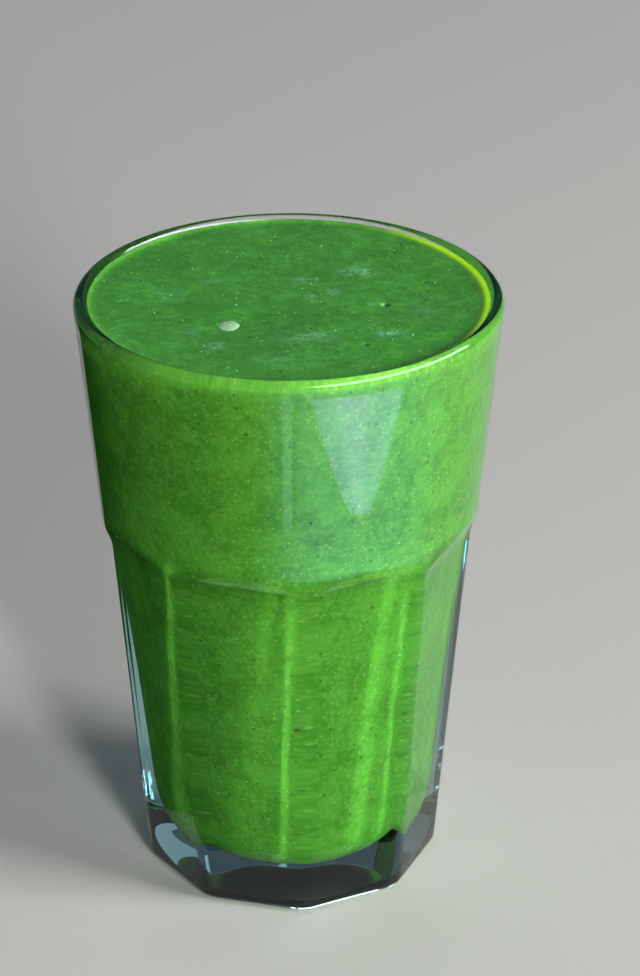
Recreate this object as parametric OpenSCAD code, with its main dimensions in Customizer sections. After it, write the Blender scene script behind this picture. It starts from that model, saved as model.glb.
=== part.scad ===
// Green smoothie in its tall pressed-glass tumbler.
// Millimetres. The origin is the middle of the underside and +Z points up through the mouth.
// Two separate pieces: the glass, and the drink that fills it to just under the lip.

/* [Overall] */
// Height of the tumbler from the table to the top of the lip
height = 130; // [118:1:150]
// Outside diameter of the mouth
rim_d = 88; // [82:1:100]

/* [Upper cone] */
// Height at which the ridges end and the plain round cone starts
shoulder_z = 80; // [60:1:90]
// Outside diameter of the round cone at the shoulder
shoulder_d = 78.8; // [76:0.2:84]
// Thickness of the wall at the mouth, which is also the width of the rounded lip
rim_wall = 3.2; // [2.6:0.1:4]

/* [Facets] */
// Number of pressed flat sides
facet_n = 9; // [7:1:12]
// Diameter over the sharp ridges at the table
base_d = 63.6; // [60:0.2:68]
// How far the ridges lie under the round cone at the shoulder
ridge_step = 0.65; // [0.4:0.05:1.2]
// How much of each sharp ridge is taken off as a narrow land
ridge_land = 0.35; // [0.2:0.05:0.6]
// Radius of the scoop that makes the arched top of each side
scoop_r = 13; // [9:0.5:18]
// Radius of the rounded heel at the table
heel_r = 2; // [1:0.25:3]

/* [Inside] */
// Thickness of the bottom under the drink
floor_t = 6; // [5:0.5:12]
// Radius of the corner between floor and wall inside
corner_r = 10; // [6:0.5:12]
// Wall in the middle of a flat side where the inner corner begins
foot_wall = 10.8; // [8:0.1:12]
// Wall in the middle of a flat side at the bend
bend_wall = 9; // [7:0.1:10]
// Height of the bend, above which the inner wall opens out more
bend_z = 56; // [46:1:66]
// Length over which the inner wall bends gently
bend_len = 36; // [12:1:44]

/* [Underside] */
// Diameter of the shallow dish pressed into the underside
dish_d = 44; // [36:1:48]
// Depth of that dish
dish_h = 1; // [0.5:0.1:1.6]

/* [Drink] */
// Distance from the top of the lip down to the surface of the drink
fill_gap = 1.2; // [0.8:0.1:12]

/* [Model] */
// Piece to show

/* [Hidden] */
$fn = 96;
big = 70;                                   // reach of a cutter outside the glass
arc_steps = 8;                              // straight pieces in a rounded profile
half_a = 180 / facet_n;                     // half the angle of one side
rim_r = rim_d / 2;
lip_r = rim_wall / 2;                       // the lip is a full round
lip_z = height - lip_r;
cone_slope = (rim_r - shoulder_d / 2) / (lip_z - shoulder_z);
ridge_top = shoulder_d / 2 - ridge_step;    // sharp ridge at the shoulder
ridge_low = base_d / 2;                     // sharp ridge at the table
ridge_slope = (ridge_top - ridge_low) / shoulder_z;
// a scoop leaves its side far enough below the shoulder for neighbours to meet on the cone
meet_a = acos(1 - ridge_step * cos(half_a) / scoop_r);
scoop_z = shoulder_z - scoop_r * sin(meet_a);

// radius of the round cone, of the sharp ridge, and of the middle of a flat side at height z
function cone_at(z) = shoulder_d / 2 + cone_slope * (z - shoulder_z);
function ridge_at(z) = ridge_low + ridge_slope * z;
function flat_at(z) = ridge_at(z) * cos(half_a);

// inner wall: two straight cones with a gentle bend between them
mouth_r = rim_r - rim_wall;
bend_r = flat_at(bend_z) - bend_wall;
foot_z = floor_t + corner_r;
foot_r = flat_at(foot_z) - foot_wall;
low_slope = (bend_r - foot_r) / (bend_z - foot_z);
high_slope = (mouth_r - bend_r) / (lip_z - bend_z);

// point on a circle in the profile plane, t measured from +X towards +Z
function on_arc(c, r, t) = [c[0] + r * cos(t), c[1] + r * sin(t)];

// quadratic bend from a to b with its corner at k
function bend(a, k, b, t) = (1 - t) * (1 - t) * a + 2 * t * (1 - t) * k + t * t * b;

// side profile of one cutter, whose edge stands at low on the table and rises with the slope s
function cutter_edge(low, s) =
    let (b = atan(s),
         start = [low + s * scoop_z, scoop_z],
         hub = start + scoop_r * [cos(b), -sin(b)],
         heel = [low + s * heel_r - heel_r, heel_r])
    concat(
        [[heel[0], -1], [heel[0], 0]],
        [for (i = [1 : arc_steps]) on_arc(heel, heel_r, -90 + i * (90 - b) / arc_steps)],
        [for (i = [0 : arc_steps + 2]) on_arc(hub, scoop_r, 180 - b - i * 70 / (arc_steps + 2))]);

// takes everything outside one flat side away, with a heel below and a scoop above
module side_cutter(low, s, angle, half_w) {
    edge = cutter_edge(low, s);
    last = edge[len(edge) - 1];
    rotate([0, 0, angle])
        rotate([90, 0, 0])
            translate([0, 0, -half_w])
                linear_extrude(height = 2 * half_w)
                    polygon(concat(edge, [[big, last[1]], [big, -1]]));
}

// outside of the glass before its sides are pressed: lip, round cone and a wide foot
module blank() {
    hub = [rim_r - lip_r, lip_z];
    rotate_extrude()
        polygon(concat(
            [[0, 0], [ridge_low + 1.5, 0], [cone_at(scoop_z), scoop_z]],
            [for (i = [0 : arc_steps]) on_arc(hub, lip_r, i * 90 / arc_steps)],
            [[0, height]]));
}

// the space inside, closed flat at the height top
module hollow(top) {
    b = atan(low_slope);
    hub = [foot_r - corner_r * cos(b), floor_t + corner_r];
    lip = [rim_r - lip_r, lip_z];
    lo = [bend_r - low_slope * bend_len / 2, bend_z - bend_len / 2];
    hi = [bend_r + high_slope * bend_len / 2, bend_z + bend_len / 2];
    intersection() {
        rotate_extrude()
            polygon(concat(
                [[0, floor_t]],
                [for (i = [0 : arc_steps]) on_arc(hub, corner_r, -90 + i * (90 - b) / arc_steps)],
                [for (i = [0 : 6]) bend(lo, [bend_r, bend_z], hi, i / 6)],
                [for (i = [0 : arc_steps]) on_arc(lip, lip_r, 180 - i * 90 / arc_steps)],
                [[rim_r - lip_r, height + 1], [0, height + 1]]));
        cylinder(h = top, r = big);
    }
}

// shallow dish in the underside, so that the glass stands on a flat ring
module dish() {
    rotate_extrude()
        polygon(concat(
            [[0, -1], [dish_d / 2, -1]],
            [for (i = [0 : arc_steps])
                [dish_d / 2 * (1 - i / arc_steps), dish_h * (1 - cos(i * 180 / arc_steps)) / 2]]));
}

module glass() {
    color([0.72, 0.86, 0.86, 0.35])
        difference() {
            blank();
            for (i = [0 : facet_n - 1]) {
                side_cutter(flat_at(0), ridge_slope * cos(half_a),
                            -90 + (i + 0.5) * 360 / facet_n, rim_r * 0.45);
                side_cutter(ridge_low - ridge_land, ridge_slope,
                            -90 + i * 360 / facet_n, rim_r * 0.2);
            }
            hollow(height + 1);
            dish();
        }
}

module smoothie() {
    color([0.2, 0.5, 0.13])
        hollow(height - fill_gap);
}

glass();
smoothie();
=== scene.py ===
"""Looks of the green smoothie in its tall pressed-glass tumbler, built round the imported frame.

Every piece is a mesh made from named sizes, in metres, in the frame of the CAD model.
"""
import math

import bpy
import numpy as np
from bpy.props import FloatProperty, FloatVectorProperty, IntProperty, PointerProperty
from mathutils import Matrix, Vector


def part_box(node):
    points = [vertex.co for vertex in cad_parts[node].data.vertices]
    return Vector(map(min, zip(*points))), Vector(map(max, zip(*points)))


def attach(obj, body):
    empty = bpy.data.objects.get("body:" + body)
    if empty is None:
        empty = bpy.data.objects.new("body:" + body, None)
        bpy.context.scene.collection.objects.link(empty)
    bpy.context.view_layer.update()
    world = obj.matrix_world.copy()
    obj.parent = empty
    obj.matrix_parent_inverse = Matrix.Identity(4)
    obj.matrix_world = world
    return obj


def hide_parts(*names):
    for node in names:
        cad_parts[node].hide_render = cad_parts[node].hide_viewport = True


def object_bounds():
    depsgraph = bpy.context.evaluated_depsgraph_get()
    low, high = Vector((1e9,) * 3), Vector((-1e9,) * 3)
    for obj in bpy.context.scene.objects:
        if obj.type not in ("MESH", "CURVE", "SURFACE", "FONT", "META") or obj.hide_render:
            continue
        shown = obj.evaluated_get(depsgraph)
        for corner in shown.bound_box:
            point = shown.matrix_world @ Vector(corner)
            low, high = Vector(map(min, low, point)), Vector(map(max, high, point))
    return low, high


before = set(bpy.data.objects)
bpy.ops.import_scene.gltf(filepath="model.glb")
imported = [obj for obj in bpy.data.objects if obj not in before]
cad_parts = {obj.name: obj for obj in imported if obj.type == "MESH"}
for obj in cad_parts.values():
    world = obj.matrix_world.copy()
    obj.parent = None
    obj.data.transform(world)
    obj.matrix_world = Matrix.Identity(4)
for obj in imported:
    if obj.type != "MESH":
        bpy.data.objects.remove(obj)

bl_info = {
    "name": "Green smoothie in a tumbler",
    "version": (1, 0, 0),
    "blender": (4, 5, 0),
    "location": "3D View > Sidebar > Smoothie",
    "description": "Builds a green smoothie in a faceted tumbler, piece by piece",
    "category": "Add Mesh",
}

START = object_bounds()
MM = 0.001


def frame_mm(value):
    """A length of the frame in millimetres, to a hundredth."""
    return round(value / MM, 2)


HEIGHT = frame_mm(START[1][2])
MOUTH_R = frame_mm(START[1][0])
DRINK_FLOOR, DRINK_TOP = (frame_mm(corner[2]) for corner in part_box("smoothie"))


# ---------------------------------------------------------------- sizes and colours

def size(name, text, value):
    """A length property in metres, given here in millimetres."""
    return FloatProperty(name=name, description=text, default=value * MM, subtype="DISTANCE",
                         unit="LENGTH", precision=5)


def colour(name, text, value):
    """A linear colour property."""
    return FloatVectorProperty(name=name, description=text, default=value, subtype="COLOR",
                               size=3, min=0.0, max=1.0)


def angle(name, text, degrees):
    """An angle property, given here in degrees."""
    return FloatProperty(name=name, description=text, default=math.radians(degrees),
                         subtype="ANGLE", unit="ROTATION")


class TumblerSizes(bpy.types.PropertyGroup):
    """Sizes and tint of the pressed tumbler."""
    height: size("Height", "Table to the top of the lip", HEIGHT)
    rim_r: size("Mouth radius", "Outside radius of the mouth", MOUTH_R)
    rim_wall: size("Lip width", "Wall at the mouth", 3.2)
    shoulder_z: size("Shoulder height", "Height at which the ridges end", 80)
    shoulder_r: size("Shoulder radius", "Outside radius of the cone at the shoulder", 39.4)
    base_r: size("Foot radius", "Radius of the sharp ridges at the table", 31.8)
    ridge_step: size("Ridge step", "How far the ridges lie under the cone", 0.65)
    ridge_round: size("Ridge rounding", "Softening of the ridges between the sides", 1.6)
    edge_round: size("Arch rounding", "Softening of the arched edges", 0.28)
    scoop_r: size("Scoop radius", "Radius of the scoop at the top of a side", 13)
    heel_r: size("Heel radius", "Radius of the heel at the table", 2)
    floor_t: size("Floor", "Thickness of the bottom", DRINK_FLOOR)
    corner_r: size("Inner corner", "Radius between floor and wall inside", 10)
    bend_wall: size("Bend wall", "Wall of a side at the bend", 9)
    bend_z: size("Bend height", "Height of the bend of the inner wall", 56)
    foot_wall: size("Foot wall", "Wall of a side at the height of the floor", 10.8)
    bend_len: size("Bend", "Length of the bend of the inner wall", 36)
    dish_r: size("Dish radius", "Radius of the dish in the underside", 22)
    dish_h: size("Dish depth", "Depth of the dish in the underside", 1)
    sides: IntProperty(name="Sides", description="Number of flat sides", default=9, min=7, max=12)
    tint: colour("Tint", "Colour that the glass lets through", (0.55, 0.79, 0.82))
    density: FloatProperty(name="Tint density", description="Absorption per metre", default=42.0)


class DrinkSizes(bpy.types.PropertyGroup):
    """Sizes and colours of the drink."""
    fill_gap: size("Fill gap", "Lip down to the surface of the drink",
                   round(HEIGHT - DRINK_TOP, 2))
    reach: size("Reach", "How far the drink reaches into the wall, so that no air shows", 0.15)
    creep: size("Creep", "Height that the drink climbs at the wall", 0.45)
    wave: size("Unevenness", "Height of the slow waves of the surface", 0.10)
    bead: size("Bead", "Radius of the largest froth beads", 0.27)
    fleck: size("Fleck", "Radius of the largest leaf flecks", 0.55)
    beads: IntProperty(name="Beads", description="Number of froth beads", default=520)
    flecks: IntProperty(name="Flecks", description="Number of leaf flecks", default=300)
    bits: IntProperty(name="Bits", description="Number of pale pulp bits", default=900)
    seeds: IntProperty(name="Seeds", description="Number of brown seed bits", default=60)
    on_top: FloatProperty(name="Share on top", description="Share of the flecks on the surface",
                          default=0.22, min=0.0, max=1.0, subtype="FACTOR")
    deep: colour("Deep green", "Colour of the drink in its darker cloud", (0.070, 0.300, 0.032))
    mid: colour("Mid green", "Main colour of the drink", (0.105, 0.410, 0.052))
    light: colour("Light green", "Colour of pale pulp", (0.300, 0.620, 0.150))
    # painted light: the pale yellow-green of the drink at the wall stands in for light shining
    # through it
    lime_glow: colour("Lime", "Colour of the thin drink at the wall", (0.300, 0.560, 0.020))
    # painted shade: a dark colour painted on the underside of the drink, for the shade seen through
    # the foot
    shade: colour("Shade", "Colour of the underside of the drink", (0.004, 0.025, 0.026))
    leaf: colour("Leaf", "Colour of leaf flecks", (0.010, 0.075, 0.016))
    froth: colour("Froth", "Colour of bubbles and froth", (0.220, 0.620, 0.340))


class StageSizes(bpy.types.PropertyGroup):
    """Floor, soft light and camera."""
    floor_tone: colour("Floor", "Colour of the paper floor", (0.50, 0.49, 0.475))
    room_tone: colour("Room", "Colour of the light from all round", (0.60, 0.80, 1.0))
    room_light: FloatProperty(name="Room light", description="Strength of the light from all round",
                              default=0.024, min=0.0)
    exposure: FloatProperty(name="Exposure", description="Exposure of the view in stops",
                            default=2.0)
    lens: FloatProperty(name="Lens", description="Focal length", default=129.1, min=1.0,
                        subtype="DISTANCE_CAMERA", unit="CAMERA")
    away: size("Camera distance", "Axis of the glass to the camera, level", 654.3)
    rise: size("Camera height", "Table to the camera", 417.1)
    turn: angle("Camera turn", "Where the camera stands round the glass", -5.0)
    tilt: angle("Camera tilt", "How far the camera looks down", 26.88)
    pan: angle("Camera pan", "How far the camera looks aside from the axis", -0.56)


# ---------------------------------------------------------------- profiles

def smooth_min(a, b, k):
    """Smaller of two arrays, with the corner between them rounded over about k."""
    h = np.maximum(k - np.abs(a - b), 0.0) / k
    return np.minimum(a, b) - h * h * k * 0.25


class Form:
    """The shape of the tumbler as functions of height and angle, from the same sizes as the CAD."""

    def __init__(self, t):
        self.t = t
        self.half = math.pi / t.sides
        self.lip_r = t.rim_wall / 2
        self.lip_z = t.height - self.lip_r
        self.cone_slope = (t.rim_r - t.shoulder_r) / (self.lip_z - t.shoulder_z)
        self.ridge_slope = (t.shoulder_r - t.ridge_step - t.base_r) / t.shoulder_z
        meet = math.acos(1 - t.ridge_step * math.cos(self.half) / t.scoop_r)
        self.scoop_z = t.shoulder_z - t.scoop_r * math.sin(meet)
        bend_z = t.bend_z
        bend_r = self.flat_at(bend_z) - t.bend_wall
        foot_z = t.floor_t + t.corner_r
        foot_r = self.flat_at(foot_z) - t.foot_wall
        mouth_r = t.rim_r - t.rim_wall
        low = (bend_r - foot_r) / (bend_z - foot_z)
        high = (mouth_r - bend_r) / (self.lip_z - bend_z)
        half_len = t.bend_len / 2
        b = math.atan(low)                              # lean of the wall where the corner ends
        hub = (foot_r - t.corner_r * math.cos(b), foot_z)
        a = np.linspace(-math.pi / 2, -b, 18)
        corner = np.stack([hub[0] + t.corner_r * np.cos(a), hub[1] + t.corner_r * np.sin(a)], 1)
        s = np.linspace(0, 1, 14)[:, None]
        lo = np.array([bend_r - low * half_len, bend_z - half_len])
        hi = np.array([bend_r + high * half_len, bend_z + half_len])
        mid = np.array([bend_r, bend_z])
        bend = (1 - s) ** 2 * lo + 2 * s * (1 - s) * mid + s ** 2 * hi
        self.inner = np.vstack([corner, bend, [[mouth_r, self.lip_z]]])

    def cone_at(self, z):
        """Radius of the round cone, carried on below the shoulder."""
        return self.t.shoulder_r + self.cone_slope * (z - self.t.shoulder_z)

    def flat_at(self, z):
        """Distance of a flat side from the axis, without heel or scoop."""
        return (self.t.base_r + self.ridge_slope * z) * math.cos(self.half)

    def side_at(self, z):
        """Distance of a pressed side from the axis, with its heel and its scoop."""
        t = self.t
        flat = self.flat_at(z)
        s = np.clip((z - self.scoop_z) / t.scoop_r, 0, 0.985)
        scoop = t.scoop_r * (1 - np.sqrt(1 - s * s)) * (1 + 0.10 * s)
        d = np.clip((t.heel_r - z) / t.heel_r, 0, 1)
        heel = t.heel_r * (1 - np.sqrt(np.maximum(1 - d * d, 0)))
        return flat + scoop - heel

    def outer_at(self, z, angle):
        """Outside radius at heights z and angles, both arrays of one shape."""
        t = self.t
        pitch = 2 * self.half
        phase = np.mod(angle + math.pi / 2 + self.half, pitch) - self.half
        side = self.side_at(z)
        near = side / np.cos(self.half - np.abs(phase))
        far = side / np.cos(self.half + np.abs(phase))
        press = smooth_min(near, far, t.ridge_round)
        return smooth_min(self.cone_at(z), press, t.edge_round)

    def inner_at(self, z):
        """Inside radius at height z."""
        return np.interp(z, self.inner[:, 1], self.inner[:, 0])


class Level:
    """The open surface of the drink: its height and what lies on it, in metres round the axis."""

    # patches of froth: place across and away, half width, half depth, strength
    PATCHES = ((15.5, 12.5, 3.2, 2.6, 1.3), (4.0, 9.0, 2.2, 2.0, 0.9), (2.0, -19.5, 4.6, 3.4, 0.8),
               (19.0, -19.5, 3.0, 1.6, 1.2), (-16.5, -22.0, 2.0, 2.0, 0.8),
               (-14.5, 10.0, 2.0, 1.2, 0.7), (9.5, 2.0, 1.6, 1.8, 0.8), (4.5, 0.5, 1.0, 1.8, 0.8),
               (-20.0, -14.0, 3.0, 2.0, 0.4), (-24.0, 3.0, 3.0, 3.0, 0.4),
               (27.0, -8.0, 3.0, 4.0, 0.35), (17.0, -4.5, 1.4, 1.0, 0.7),
               (-4.0, -30.0, 5.0, 3.0, 0.35))
    # pits left by burst bubbles: place across and away, radius, depth
    PITS = ((19.2, -4.7, 0.62, 1.1), (13.2, -24.2, 0.50, 0.5), (-27.0, -4.0, 0.35, 0.3),
            (-9.5, -17.8, 0.35, 0.3), (7.0, -27.0, 0.30, 0.3), (-6.0, 17.0, 0.30, 0.2),
            (29.0, 6.0, 0.35, 0.3))

    def __init__(self, t, d, form):
        self.t, self.d = t, d
        self.top = t.height - d.fill_gap
        climb = self.top + d.creep - form.lip_z
        self.wall = t.rim_r - form.lip_r - math.sqrt(max(form.lip_r ** 2 - climb ** 2, 0.0))
        rng = np.random.default_rng(7)
        self.waves = [(rng.uniform(120, 420), rng.uniform(0, 2 * math.pi),
                       rng.uniform(0, 2 * math.pi)) for _ in range(14)]  # pitch, heading, start

    def pit(self, x, y):
        """Pits as a share of their depth, and as a depth."""
        share, drop = np.zeros_like(x), np.zeros_like(x)
        for px, py, r, deep in self.PITS:
            q = np.exp(-(((x - px * MM) ** 2 + (y - py * MM) ** 2) / (r * MM) ** 2) ** 1.5)
            share, drop = np.maximum(share, q), np.maximum(drop, q * deep * MM)
        return share, drop

    def froth(self, x, y):
        """How frothy the surface is."""
        total = np.zeros_like(x)
        for px, py, a, b, strong in self.PATCHES:
            total += strong * np.exp(-(((x - px * MM) / (a * MM)) ** 2
                                       + ((y - py * MM) / (b * MM)) ** 2))
        return total

    def thin(self, x, y):
        """How shallow the drink lies where it climbs the wall, weighted to the right side as
        painted light from the right.
        """
        r, a = np.hypot(x, y), np.arctan2(y, x)
        edge = np.clip((r - self.wall + 2.6 * MM) / (2.3 * MM), 0, 1) ** 2
        # painted light: the right side is weighted up, for the light that falls from the right
        side = np.exp(-((np.mod(a - 0.15 + math.pi, 2 * math.pi) - math.pi) / 0.75) ** 4)
        return edge * (0.08 + 0.92 * side)

    def height(self, x, y):
        """Height of the surface: slow waves, the climb at the wall, and the pits."""
        r = np.hypot(x, y)
        z = sum(np.sin(w * (x * math.cos(a) + y * math.sin(a)) + p) for w, a, p in self.waves)
        z = z * self.d.wave / 3 * (1 - np.clip(r / self.wall, 0, 1) ** 12)
        climb = self.d.creep * np.exp(-np.maximum(self.wall - r, 0) / (0.7 * MM))
        return self.top + z + climb - self.pit(x, y)[1]


def add_object(name, data):
    """A new object in the scene, holding this mesh, lamp or camera."""
    obj = bpy.data.objects.new(name, data)
    bpy.context.scene.collection.objects.link(obj)
    return obj


def add_mesh(name, points, faces):
    """A new smooth mesh object."""
    mesh = bpy.data.meshes.new(name)
    mesh.from_pydata(points, [], faces)
    mesh.validate()
    mesh.shade_smooth()
    return add_object(name, mesh)


def add_values(mesh, name, values):
    """Stores one number for each point of a mesh, for its material to read."""
    layer = mesh.attributes.new(name, "FLOAT", "POINT")
    layer.data.foreach_set("value", values.astype(np.float32))


def around(count):
    """Angles of evenly spaced points round the axis."""
    return np.arange(count) * 2 * math.pi / count


def scales(name, centres, normals, radii, material, rng, sides, lift, ragged, slim):
    """One mesh of small domed scales on a surface: ragged and slim for flecks, round for beads."""
    n = len(radii)
    up = np.where(np.abs(normals[:, 2:3]) > 0.9, [[1.0, 0, 0]], [[0, 0, 1.0]])
    u = np.cross(up, normals)
    u /= np.linalg.norm(u, axis=1)[:, None]
    v = np.cross(normals, u)
    spin = rng.uniform(0, 2 * math.pi, n)[:, None]
    u, v = u * np.cos(spin) + v * np.sin(spin), v * np.cos(spin) - u * np.sin(spin)
    a = around(sides)
    narrow = 1 - slim * rng.random(n)[:, None]
    parts = [centres[:, None, :] + normals[:, None, :] * (radii * lift)[:, None, None]]
    for share, rise in ((0.62, 0.75), (1.0, 0.0)):
        rag = 1 - ragged * rng.random((n, sides))
        across = (radii[:, None] * share * rag * np.cos(a))[:, :, None] * u[:, None, :]
        along = (radii[:, None] * narrow * share * rag * np.sin(a))[:, :, None] * v[:, None, :]
        high = normals[:, None, :] * (radii * lift * rise)[:, None, None]
        parts.append(centres[:, None, :] + across + along + high)
    points = np.concatenate(parts, axis=1)
    one = []
    for i in range(sides):
        j = (i + 1) % sides
        one += [[0, 1 + i, 1 + j], [1 + i, 1 + sides + i, 1 + sides + j],
                [1 + i, 1 + sides + j, 1 + j]]
    first = np.arange(n)[:, None, None] * (1 + 2 * sides)      # first point of each scale
    faces = (np.array(one)[None] + first).reshape(-1, 3).tolist()
    obj = add_mesh(name, points.reshape(-1, 3).tolist(), faces)
    obj.data.materials.append(material)
    return obj


def ring_mesh(name, rings, close_first=None, close_last=None):
    """A mesh through rings of points, each ring with as many points; ends may close on a point."""
    count = len(rings[0])
    points = np.concatenate(rings).tolist()
    faces = []
    idx = np.arange(count)
    nxt = np.roll(idx, -1)
    for r in range(len(rings) - 1):
        a, b = r * count, (r + 1) * count
        faces += np.stack([a + idx, a + nxt, b + nxt, b + idx], 1).tolist()
    if close_first is not None:
        points.append(close_first)
        c = len(points) - 1
        faces += [[c, int(j), int(i)] for i, j in zip(idx, nxt)]
    if close_last is not None:
        points.append(close_last)
        c = len(points) - 1
        base = (len(rings) - 1) * count
        faces += [[c, base + int(i), base + int(j)] for i, j in zip(idx, nxt)]
    return add_mesh(name, points, faces)


def ring(radius, z, angles):
    """Points at these angles; radius and height are numbers or one for each angle."""
    radius = np.broadcast_to(radius, angles.shape)
    z = np.broadcast_to(z, angles.shape)
    return np.stack([radius * np.cos(angles), radius * np.sin(angles), z], 1)


# ---------------------------------------------------------------- shader maths

class Sock:
    """A shader socket on which sums can be written; each operator adds one Math node."""

    def __init__(self, graph, socket):
        self.graph, self.socket = graph, socket

    def _do(self, op, *values):
        return self.graph.node("ShaderNodeMath", {"operation": op}, dict(enumerate(values)))

    def __add__(self, o): return self._do("ADD", self, o)
    def __radd__(self, o): return self._do("ADD", o, self)
    def __sub__(self, o): return self._do("SUBTRACT", self, o)
    def __rsub__(self, o): return self._do("SUBTRACT", o, self)
    def __mul__(self, o): return self._do("MULTIPLY", self, o)
    def __rmul__(self, o): return self._do("MULTIPLY", o, self)
    def __lt__(self, o): return self._do("LESS_THAN", self, o)
    def __gt__(self, o): return self._do("GREATER_THAN", self, o)

    def clamp(self):
        """This value held between 0 and 1."""
        return self.ramp(0.0, 1.0)

    def ramp(self, low, high):
        """0 below low, 1 above high, straight between."""
        return self.graph.node("ShaderNodeMapRange", {"clamp": True},
                               {"Value": self, "From Min": low, "From Max": high}, "Result")

    def smooth(self, low, high):
        """0 below low, 1 above high, eased between."""
        return self.graph.node("ShaderNodeMapRange",
                               {"clamp": True, "interpolation_type": "SMOOTHSTEP"},
                               {"Value": self, "From Min": low, "From Max": high}, "Result")


class Graph:
    """The nodes of one new material."""

    def __init__(self, name):
        self.material = bpy.data.materials.new(name)
        self.material.use_nodes = True
        self.tree = self.material.node_tree
        self.tree.nodes.clear()

    def node(self, kind, settings=None, inputs=None, output=0):
        """Adds a node: its type, its settings, and the values or links of its sockets."""
        n = self.tree.nodes.new(kind)
        for key, value in (settings or {}).items():
            setattr(n, key, value)
        for key, value in (inputs or {}).items():
            target = n.inputs[key]
            if isinstance(value, Sock):
                self.tree.links.new(value.socket, target)
            elif target.type == "RGBA":
                target.default_value = tuple(value)[:3] + (1.0,)
            else:
                target.default_value = value
        return Sock(self, n.outputs[output])

    def place(self):
        """Position in the object's own frame, in metres."""
        return self.node("ShaderNodeTexCoord", output="Object")

    def mix(self, factor, a, b):
        """Colour a where factor is 0 and b where it is 1."""
        return self.node("ShaderNodeMix", {"data_type": "RGBA"}, {0: factor, 6: a, 7: b}, 2)

    def stretch(self, vector, factors):
        """A vector scaled axis by axis."""
        return self.node("ShaderNodeVectorMath", {"operation": "MULTIPLY"},
                         {0: vector, 1: factors})

    def noise(self, vector, scale, detail, rough, warp=0.0):
        """Cloudy noise from 0 to 1."""
        return self.node("ShaderNodeTexNoise", {"noise_dimensions": "3D"},
                         {"Vector": vector, "Scale": scale, "Detail": detail,
                          "Roughness": rough, "Distortion": warp}, "Fac")

    def specks(self, vector, scale, share, radius):
        """1 inside small round specks that lie in a share of the cells, 0 elsewhere."""
        cell = {"Vector": vector, "Scale": scale}
        far = self.node("ShaderNodeTexVoronoi", {"feature": "F1"}, cell, "Distance")
        pick = self.node("ShaderNodeTexVoronoi", {"feature": "F1"}, cell, "Color")
        chance = self.node("ShaderNodeSeparateColor", {}, {"Color": pick}, "Red")
        return (1.0 - far.smooth(radius * 0.6, radius)) * (chance < share)

    def surface(self, **inputs):
        """Ends the graph in a Principled shader with these inputs."""
        shader = self.node("ShaderNodeBsdfPrincipled", {}, inputs)
        out = self.tree.nodes.new("ShaderNodeOutputMaterial")
        self.tree.links.new(shader.socket, out.inputs["Surface"])
        return self.material

    def volume(self, **inputs):
        """Adds a plain absorbing volume."""
        fog = self.node("ShaderNodeVolumeAbsorption", {}, inputs)
        out = [n for n in self.tree.nodes if n.type == "OUTPUT_MATERIAL"][0]
        self.tree.links.new(fog.socket, out.inputs["Volume"])


# ---------------------------------------------------------------- materials

def glass_material(t):
    """Clear glass that tints what is seen through its depth."""
    g = Graph("tumbler_glass")
    mat = g.surface(**{"Base Color": (1.0, 1.0, 1.0), "Roughness": 0.0, "IOR": 1.5,
                       "Transmission Weight": 1.0})
    g.volume(Color=tuple(t.tint) + (1.0,), Density=t.density)
    return mat


def bubble_material():
    """Pale skin of the one large bubble."""
    g = Graph("bubble_skin")
    lace = g.noise(g.place(), 1500.0, 4.0, 0.7).smooth(0.40, 0.62)
    return g.surface(**{"Base Color": g.mix(lace, (0.26, 0.55, 0.26), (0.46, 0.72, 0.42)),
                        "Roughness": 0.35})


def pulp_colour(g, d, shift):
    """Mottled green of the blended drink, with fine pale pulp and dark leaf specks.

    Gives the colour, each channel scaled by shift, and the place it is taken from.
    """
    p = g.place()
    cloud = g.noise(p, 130.0, 5.0, 0.62, 0.6).smooth(0.34, 0.68)
    grain = g.noise(p, 900.0, 3.0, 0.65).smooth(0.40, 0.74)
    col = g.mix(cloud, d.deep, d.mid)
    col = g.mix(grain * 0.30, col, d.light)
    col = g.mix(g.specks(p, 1300.0, 0.12, 0.42) * 0.50, col, d.light)
    col = g.mix(g.specks(p, 900.0, 0.035, 0.40) * 0.50, col, d.leaf)
    return g.stretch(col, shift), p


def drink_side_material(t, d):
    """The drink against the glass, with painted shade on its underside."""
    g = Graph("smoothie_in_glass")
    # the drink at the glass takes the brighter copy of the pulp colour, the open surface a darker
    # one
    col, p = pulp_colour(g, d, (1.10, 0.98, 0.72))
    high = g.node("ShaderNodeSeparateXYZ", {}, {"Vector": p}, "Z")
    # painted shade: the drink is painted dark at the floor of the glass, for the shade under it
    col = g.mix(high.smooth(t.floor_t - 0.1 * MM, t.floor_t + 0.5 * MM), d.shade, col)
    return g.surface(**{"Base Color": col, "Roughness": 0.6, "Specular IOR Level": 0.05})


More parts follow.
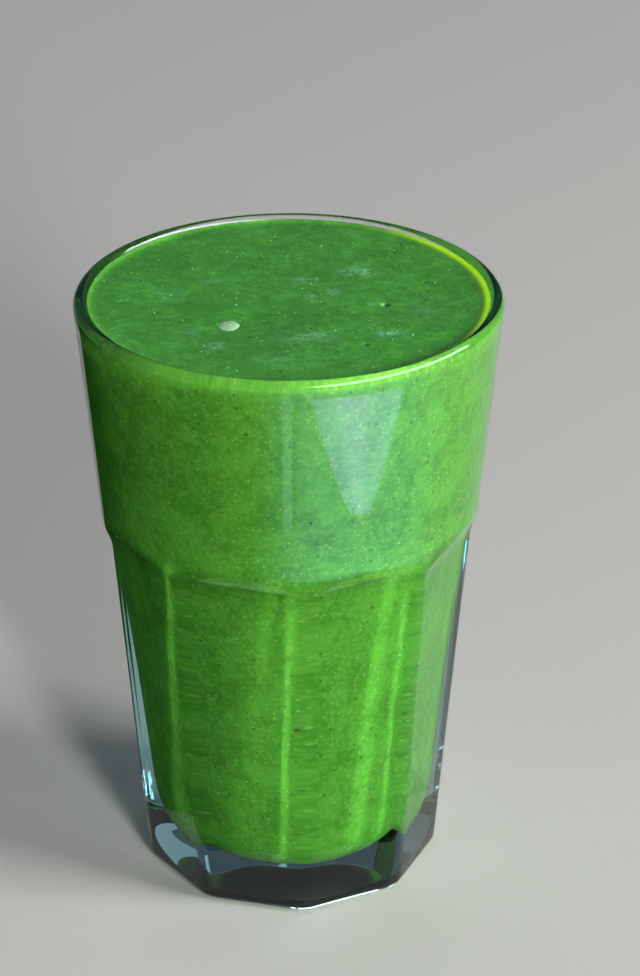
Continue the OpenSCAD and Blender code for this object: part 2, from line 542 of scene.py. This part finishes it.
def drink_top_material(d):
    """The open surface, darker than the drink at the glass as painted shade; its mesh carries how
    frothy and pitted the drink is at each point, and where it climbs the wall and is painted as
    lit.
    """
    g = Graph("smoothie_surface")
    # painted shade: the pulp colour is scaled darker here than at the glass, for the top that gets
    # less of the low light
    col, p = pulp_colour(g, d, (0.56, 0.82, 0.56))
    lace = g.noise(p, 560.0, 5.0, 0.75).smooth(0.36, 0.70)
    froth = g.node("ShaderNodeAttribute", {"attribute_name": "froth"}, {}, "Fac")
    pit = g.node("ShaderNodeAttribute", {"attribute_name": "pit"}, {}, "Fac")
    thin = g.node("ShaderNodeAttribute", {"attribute_name": "thin"}, {}, "Fac")
    blotch = g.noise(p, 330.0, 4.0, 0.65, 0.5).smooth(0.42, 0.60)
    col = g.mix((1.0 - blotch) * 0.50, col, (0.026, 0.185, 0.018))
    col = g.mix((froth * lace + lace * 0.06).clamp() * 0.80, col, d.froth)
    # painted light: the drink climbing the wall takes a pale yellow-green, for light shining
    # through it, most on the right
    col = g.mix(thin.clamp(), col, d.lime_glow)
    # painted shade: the pits take the darkest fleck colour, for the shade inside them
    col = g.mix(pit.clamp(), col, d.leaf)
    bumps = g.noise(p, 420.0, 4.0, 0.6, 0.2)
    normal = g.node("ShaderNodeBump", {}, {"Strength": 0.30, "Distance": 0.0004, "Height": bumps})
    # painted glow: the drink climbing the wall gives off light of its own, though it is no lamp
    glow = g.mix(thin.smooth(0.15, 0.9), (0.0, 0.0, 0.0), (0.055, 0.115, 0.0))
    return g.surface(**{"Base Color": col, "Roughness": 0.42, "Specular IOR Level": 0.30,
                        "Emission Color": glow, "Emission Strength": 1.0, "Normal": normal})


def plain_material(name, base, rough, **more):
    """One colour all over."""
    return Graph(name).surface(**{"Base Color": tuple(base), "Roughness": rough, **more})


# ---------------------------------------------------------------- pieces

def fit(obj, node, replace=True):
    """Puts a piece on the frame's one body and, unless told not to, hides the imported part that it
    replaces.
    """
    if not obj.data.polygons:
        raise RuntimeError(f"{obj.name} came out empty")
    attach(obj, "root")
    if replace:
        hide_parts(node)


class SMOOTHIE_OT_tumbler(bpy.types.Operator):
    """Build the pressed tumbler as one closed glass"""
    bl_idname = "smoothie.tumbler"
    bl_label = "Tumbler"

    def execute(self, context):
        t = context.scene.tumbler
        f = Form(t)
        ang = around(t.sides * 48)
        heel = t.heel_r * (1 - np.cos(np.linspace(0, math.pi / 2, 9)))
        zs = np.concatenate([
            heel[:-1],
            np.linspace(t.heel_r, f.scoop_z - 2 * MM, 26)[:-1],
            np.linspace(f.scoop_z - 2 * MM, t.shoulder_z + 8 * MM, 44)[:-1],
            np.linspace(t.shoulder_z + 8 * MM, f.lip_z, 22)])
        rings = []
        foot = f.outer_at(np.zeros_like(ang), ang)
        for k in np.linspace(0, 1, 12)[1:-1]:            # dish, from its middle outwards
            rings.append(ring(t.dish_r * k, t.dish_h * (1 + math.cos(math.pi * k)) / 2, ang))
        rings.append(ring(t.dish_r, 0.0, ang))
        rings.append(ring((t.dish_r + foot) / 2, 0.0, ang))
        for z in zs:                                     # outside, from the heel to the lip
            rings.append(ring(f.outer_at(np.full_like(ang, z), ang), z, ang))
        for a in np.linspace(0, math.pi, 17)[1:]:        # round of the lip
            rings.append(ring(t.rim_r - f.lip_r + f.lip_r * math.cos(a),
                              f.lip_z + f.lip_r * math.sin(a), ang))
        for r, z in f.inner[::-1][1:]:                   # inside, from the lip to the floor
            rings.append(ring(r, z, ang))
        for k in (0.66, 0.33):
            rings.append(ring(f.inner[0, 0] * k, t.floor_t, ang))
        obj = ring_mesh("tumbler", rings, (0, 0, t.dish_h), (0, 0, t.floor_t))
        obj.data.materials.append(glass_material(t))
        fit(obj, "glass")
        return {"FINISHED"}


class SMOOTHIE_OT_drink(bpy.types.Operator):
    """Build the drink up to its surface, reaching just into the wall"""
    bl_idname = "smoothie.drink"
    bl_label = "Drink"

    def execute(self, context):
        t, d = context.scene.tumbler, context.scene.drink
        f = Form(t)
        ang = around(240)
        top = t.height - d.fill_gap
        rings = []
        for k in (0.33, 0.66):
            rings.append(ring(f.inner[0, 0] * k, t.floor_t - d.reach, ang))
        step = np.gradient(f.inner, axis=0)
        step /= np.linalg.norm(step, axis=1)[:, None]
        out = f.inner + np.stack([step[:, 1], -step[:, 0]], 1) * d.reach
        for r, z in out[out[:, 1] < top]:
            rings.append(ring(r, z, ang))
        hold = f.inner_at(top) + d.reach
        rings.append(ring(hold, top, ang))
        # the cap drops inside the wall, under the waves of the surface
        rings.append(ring(hold - 0.9 * MM, top - 0.8 * MM, ang))
        obj = ring_mesh("smoothie_body", rings, (0, 0, t.floor_t - d.reach), (0, 0, top - 2 * MM))
        obj.data.materials.append(drink_side_material(t, d))
        fit(obj, "smoothie")

        # surface: a disc with slow waves and pits, climbing a little at the wall
        level = Level(t, d, f)
        wall = level.wall + d.reach * 0.5
        ang = around(360)
        rings = []
        for k in np.concatenate([np.linspace(0, 0.93, 96)[1:], np.linspace(0.93, 1, 16)[1:]]):
            x, y = wall * k * np.cos(ang), wall * k * np.sin(ang)
            rings.append(np.stack([x, y, level.height(x, y)], 1))
        obj = ring_mesh("smoothie_surface", rings, (0, 0, top))
        co = np.array([v.co[:2] for v in obj.data.vertices])
        x, y = co[:, 0], co[:, 1]
        add_values(obj.data, "froth", level.froth(x, y))
        add_values(obj.data, "pit", level.pit(x, y)[0])
        # mask of the painted light where the drink climbs the wall
        add_values(obj.data, "thin", level.thin(x, y))
        obj.data.materials.append(drink_top_material(d))
        fit(obj, "smoothie")
        return {"FINISHED"}


def spread(level, rng, count, near_froth):
    """Places on the open surface, some of them gathered in the patches of froth."""
    picks = []
    while len(picks) < count:
        a, r = rng.uniform(0, 2 * math.pi), level.wall * 0.97 * math.sqrt(rng.random())
        x, y = np.array([r * math.cos(a)]), np.array([r * math.sin(a)])
        if rng.random() < (1 - near_froth) + near_froth * min(level.froth(x, y)[0], 1.0):
            picks.append((x[0], y[0]))
    x, y = np.array(picks).T
    return x, y


class SMOOTHIE_OT_froth(bpy.types.Operator):
    """Lay the one large bubble and the small froth beads on the surface"""
    bl_idname = "smoothie.froth"
    bl_label = "Froth"

    def execute(self, context):
        t, d = context.scene.tumbler, context.scene.drink
        level = Level(t, d, Form(t))
        rng = np.random.default_rng(11)
        skin = plain_material("froth_bead", (0.16, 0.47, 0.17), 0.5)
        x, y = spread(level, rng, d.beads, 0.72)
        where = np.stack([x, y, level.height(x, y) - 0.02 * MM], 1)
        up = np.tile([0.0, 0.0, 1.0], (d.beads, 1))
        radii = d.bead * (0.28 + 0.72 * rng.random(d.beads) ** 4)
        obj = scales("froth_beads", where, up, radii, skin, rng, 8, 0.55, 0.05, 0.15)
        fit(obj, "smoothie", False)

        # the large bubble: a low dome with an uneven rim, longer away from the camera
        cx, cy, radius, rise = -13.1 * MM, -12.0 * MM, 2.15 * MM, 0.30 * MM
        ang = around(40)
        edge = 1 + 0.04 * np.sin(2 * ang + 1) + 0.02 * np.sin(3 * ang) + 0.02 * np.sin(5 * ang + 2)
        rings = []
        for k in np.linspace(0, 1, 12)[1:]:
            x, y = cx + radius * k * edge * np.cos(ang), cy + 1.2 * radius * k * edge * np.sin(ang)
            z = level.height(x, y) - 0.05 * MM + rise * (1 - k ** 2) ** 0.7
            rings.append(np.stack([x, y, z], 1))
        obj = ring_mesh("froth_bubble", rings, (cx, cy, level.top + rise))
        obj.data.materials.append(bubble_material())
        fit(obj, "smoothie", False)
        return {"FINISHED"}


class SMOOTHIE_OT_flecks(bpy.types.Operator):
    """Scatter leaf flecks and pale pulp on the surface and against the glass"""
    bl_idname = "smoothie.flecks"
    bl_label = "Flecks"

    def execute(self, context):
        t, d = context.scene.tumbler, context.scene.drink
        f = Form(t)
        level = Level(t, d, f)
        rng = np.random.default_rng(23)
        kinds = (("leaf_flecks", d.flecks, d.fleck, plain_material("leaf_fleck", d.leaf, 0.5), 0.6),
                 ("pulp_bits", d.bits, d.fleck * 0.5,
                  plain_material("pulp_bit", (0.42, 0.62, 0.20), 0.5), 0.4),
                 ("seed_bits", d.seeds, d.fleck * 0.5,
                  plain_material("seed_bit", (0.22, 0.10, 0.03), 0.5), 0.2))
        lowest = t.floor_t + t.corner_r * 0.6
        for name, count, biggest, material, slim in kinds:
            on_top = int(round(count * d.on_top, 3))
            x, y = spread(level, rng, on_top, 0.0)
            top = np.stack([x, y, level.height(x, y) + 0.01 * MM], 1)
            up = np.tile([0.0, 0.0, 1.0], (on_top, 1))
            a = rng.uniform(0, 2 * math.pi, count - on_top)
            z = lowest + (level.top - lowest) * rng.random(count - on_top) ** 0.75
            r = f.inner_at(z) + d.reach + 0.01 * MM
            side = np.stack([r * np.cos(a), r * np.sin(a), z], 1)
            out = np.stack([np.cos(a), np.sin(a), np.zeros_like(a)], 1)
            radii = biggest * (0.22 + 0.78 * rng.random(count) ** 3)
            obj = scales(name, np.vstack([top, side]), np.vstack([up, out]), radii, material, rng,
                         7, 0.10, 0.35, slim)
            fit(obj, "smoothie", False)
        return {"FINISHED"}


# ---------------------------------------------------------------- stage

# soft lamps: azimuth, elevation, distance, width, height, power, tone
LAMPS = {
    "key": (15, 16, 2.00, 0.30, 1.12, 12.0, (1.0, 0.99, 0.96)),
    "window": (66, 15, 2.00, 0.92, 0.76, 18.8, (1.0, 0.99, 0.96)),
    "back": (186, 14, 2.40, 1.60, 0.60, 4.6, (0.92, 0.96, 1.0)),
}
LAMP_AIM = (0, 0, 0.07)

# glowing panels: azimuth, elevation, distance, width, height, strength, how the glass shows them
PANELS = {
    "pane_back": (126, 32, 0.9, 0.20, 0.20, 0.11, "through"),
    "pane_far": (158, 32, 0.9, 0.08, 0.20, 0.16, "through"),
    "pane_rim": (62, 52, 0.9, 1.50, 0.36, 3.6, "mirrored"),
}
PANEL_AIM = (0, 0, 0.05)
PANEL_TONE = (0.78, 0.90, 1.0)

# lit and dark parts of the table as the glass mirrors them
BLACK = (0.0, 0.0, 0.0)
BOARD_FRONT, BOARD_FAR, BOARD_SIDE = (0.10, 0.10, 0.10), (0.16, 0.30, 0.50), (0.16, 0.16, 0.14)
WEDGE_EDGE, WEDGE_SIDE, WEDGE_HEART = (0.05, 0.10, 0.16), (0.60, 0.76, 1.45), (0.98, 1.10, 1.95)
SLIM_GLOW = (0.25, 0.42, 0.60)


def board_near(g, t):
    """Black, and as bright as the floor at its right end."""
    return g.mix(t.smooth(0.72, 1.0), BLACK, BOARD_FRONT)


def board_far(g, t):
    """Black, then blue, then as bright as the floor at its right end."""
    return g.mix(t.smooth(0.78, 1.0), g.mix(t.smooth(0.50, 0.66), BLACK, BOARD_FAR), BOARD_SIDE)


def window_wedge(g, t):
    """Bright with soft sides, brightest left of its middle."""
    heart = t.smooth(0.22, 0.34) * (1.0 - t.smooth(0.48, 0.70))
    return g.mix(t.smooth(0.0, 0.10) * (1.0 - t.smooth(0.88, 1.0)), WEDGE_EDGE,
                 g.mix(heart, WEDGE_SIDE, WEDGE_HEART))


def window_slim(g, t):
    """A faint pane that fades at both sides."""
    return g.mix(t.smooth(0.0, 0.3) * (1.0 - t.smooth(0.7, 1.0)), BLACK, SLIM_GLOW)


# ring sectors low by the table: height, inner and outer radius, azimuths where they start
# and end, at the inner and at the outer arc, and their paint
SECTORS = {
    "board_near": (1 * MM, 0.046, 0.142, (-150, -150), (95, 95), board_near),
    "board_far": (1 * MM, 0.142, 0.60, (-150, -150), (95, 95), board_far),
    "window_wedge": (2 * MM, 0.166, 0.221, (27, 1), (39, 59), window_wedge),
    "window_slim": (2 * MM, 0.160, 0.219, (-10, -10), (-2, -2), window_slim),
}


def stand(obj, azimuth, elevation, away, aim, front):
    """Places an object round the glass and turns its front axis to the aim.

    Azimuth 0 stands at the camera's side and 90 at the right.
    """
    a, e = math.radians(azimuth), math.radians(elevation)
    aim = Vector(aim)
    obj.location = aim + away * Vector((math.sin(a) * math.cos(e),
                                        -math.cos(a) * math.cos(e), math.sin(e)))
    obj.rotation_euler = (aim - obj.location).to_track_quat(front, "Y").to_euler()


def lamp(name, azimuth, elevation, away, width, height, power, tone):
    """A soft rectangular lamp."""
    data = bpy.data.lights.new(name, "AREA")
    data.shape = "RECTANGLE"
    data.size, data.size_y = width, height
    data.energy, data.color = power, tone
    obj = add_object(name, data)
    stand(obj, azimuth, elevation, away, LAMP_AIM, "-Z")
    obj.visible_camera = obj.visible_glossy = False     # no glare on the open surface


def unseen(obj, seen):
    """Lets a glowing piece show only in the glass: through it, or mirrored in it."""
    obj.visible_camera = obj.visible_diffuse = obj.visible_shadow = False
    obj.visible_transmission = seen == "through"
    obj.visible_glossy = seen == "mirrored"


def panel(name, azimuth, elevation, away, width, height, strength, seen):
    """An upright glowing panel that faces the glass."""
    bpy.ops.mesh.primitive_plane_add(size=1.0)
    obj = bpy.context.object
    obj.name = name
    obj.scale = (width, height, 1.0)
    stand(obj, azimuth, elevation, away, PANEL_AIM, "Z")
    obj.data.materials.append(plain_material(name, BLACK, 1.0, **{
        "Emission Color": PANEL_TONE, "Emission Strength": strength}))
    unseen(obj, seen)


def sector(name, height, near, far, start, end, paint):
    """A flat glowing piece of a ring low by the table, painted across from start to end."""
    across = np.linspace(0, 1, 40)
    points = []
    for r, low, high in ((near, start[0], end[0]), (far, start[1], end[1])):
        for k in across:
            a = math.radians(low + (high - low) * k)
            points.append((r * math.sin(a), -r * math.cos(a), height))
    n = len(across)
    mesh = bpy.data.meshes.new(name)
    mesh.from_pydata(points, [], [(i, i + 1, n + i + 1, n + i) for i in range(n - 1)])
    add_values(mesh, "across", np.tile(across, 2))
    g = Graph(name)
    t = g.node("ShaderNodeAttribute", {"attribute_name": "across"}, {}, "Fac")
    mesh.materials.append(g.surface(**{
        "Base Color": BLACK, "Roughness": 1.0, "Specular IOR Level": 0.0,
        "Emission Color": paint(g, t), "Emission Strength": 1.0}))
    unseen(add_object(name, mesh), "mirrored")


class SMOOTHIE_OT_stage(bpy.types.Operator):
    """Set the floor, the soft light and the camera"""
    bl_idname = "smoothie.stage"
    bl_label = "Stage"

    def execute(self, context):
        scene = context.scene
        st = scene.smoothie_stage
        bpy.ops.mesh.primitive_plane_add(size=16.0, location=(0, 0, 0))
        floor = context.object
        floor.name = "floor"
        floor.data.materials.append(plain_material("floor_paper", st.floor_tone, 1.0,
                                                   **{"Specular IOR Level": 0.0}))

        world = bpy.data.worlds.new("soft_room")
        world.use_nodes = True
        back = world.node_tree.nodes["Background"]
        back.inputs["Color"].default_value = tuple(st.room_tone) + (1.0,)
        back.inputs["Strength"].default_value = st.room_light
        scene.world = world
        scene.view_settings.view_transform = "Standard"
        scene.view_settings.exposure = st.exposure
        scene.cycles.blur_glossy = 0.0                  # keeps the lines of light behind the ridges

        for name, values in LAMPS.items():
            lamp(name, *values)
        for name, values in PANELS.items():
            panel(name, *values)
        for name, values in SECTORS.items():
            sector(name, *values)

        cam = bpy.data.cameras.new("camera")
        cam.lens, cam.sensor_width = st.lens, 36.0
        cam.clip_start, cam.clip_end = 0.01, 20.0
        obj = add_object("camera", cam)
        obj.location = (st.away * math.sin(st.turn), -st.away * math.cos(st.turn), st.rise)
        obj.rotation_euler = (math.pi / 2 - st.tilt, 0.0, st.pan + st.turn)
        scene.camera = obj
        return {"FINISHED"}


class SMOOTHIE_PT_panel(bpy.types.Panel):
    """Sizes, colours and the steps that build the pieces"""
    bl_label = "Smoothie"
    bl_space_type = "VIEW_3D"
    bl_region_type = "UI"
    bl_category = "Smoothie"

    def draw(self, context):
        scene = context.scene
        for group in (scene.tumbler, scene.drink, scene.smoothie_stage):
            for key in group.__annotations__:
                self.layout.prop(group, key)
        for step in STEPS:
            self.layout.operator(step.bl_idname)


STEPS = (SMOOTHIE_OT_tumbler, SMOOTHIE_OT_drink, SMOOTHIE_OT_froth, SMOOTHIE_OT_flecks,
         SMOOTHIE_OT_stage)
CLASSES = (TumblerSizes, DrinkSizes, StageSizes, *STEPS, SMOOTHIE_PT_panel)


def register():
    for cls in CLASSES:
        bpy.utils.register_class(cls)
    bpy.types.Scene.tumbler = PointerProperty(type=TumblerSizes)
    bpy.types.Scene.drink = PointerProperty(type=DrinkSizes)
    bpy.types.Scene.smoothie_stage = PointerProperty(type=StageSizes)


def unregister():
    del bpy.types.Scene.smoothie_stage
    del bpy.types.Scene.drink
    del bpy.types.Scene.tumbler
    for cls in reversed(CLASSES):
        bpy.utils.unregister_class(cls)


def main():
    """Builds every piece in order."""
    register()
    bpy.ops.smoothie.tumbler()
    bpy.ops.smoothie.drink()
    bpy.ops.smoothie.froth()
    bpy.ops.smoothie.flecks()
    bpy.ops.smoothie.stage()


if __name__ == "__main__":
    main()
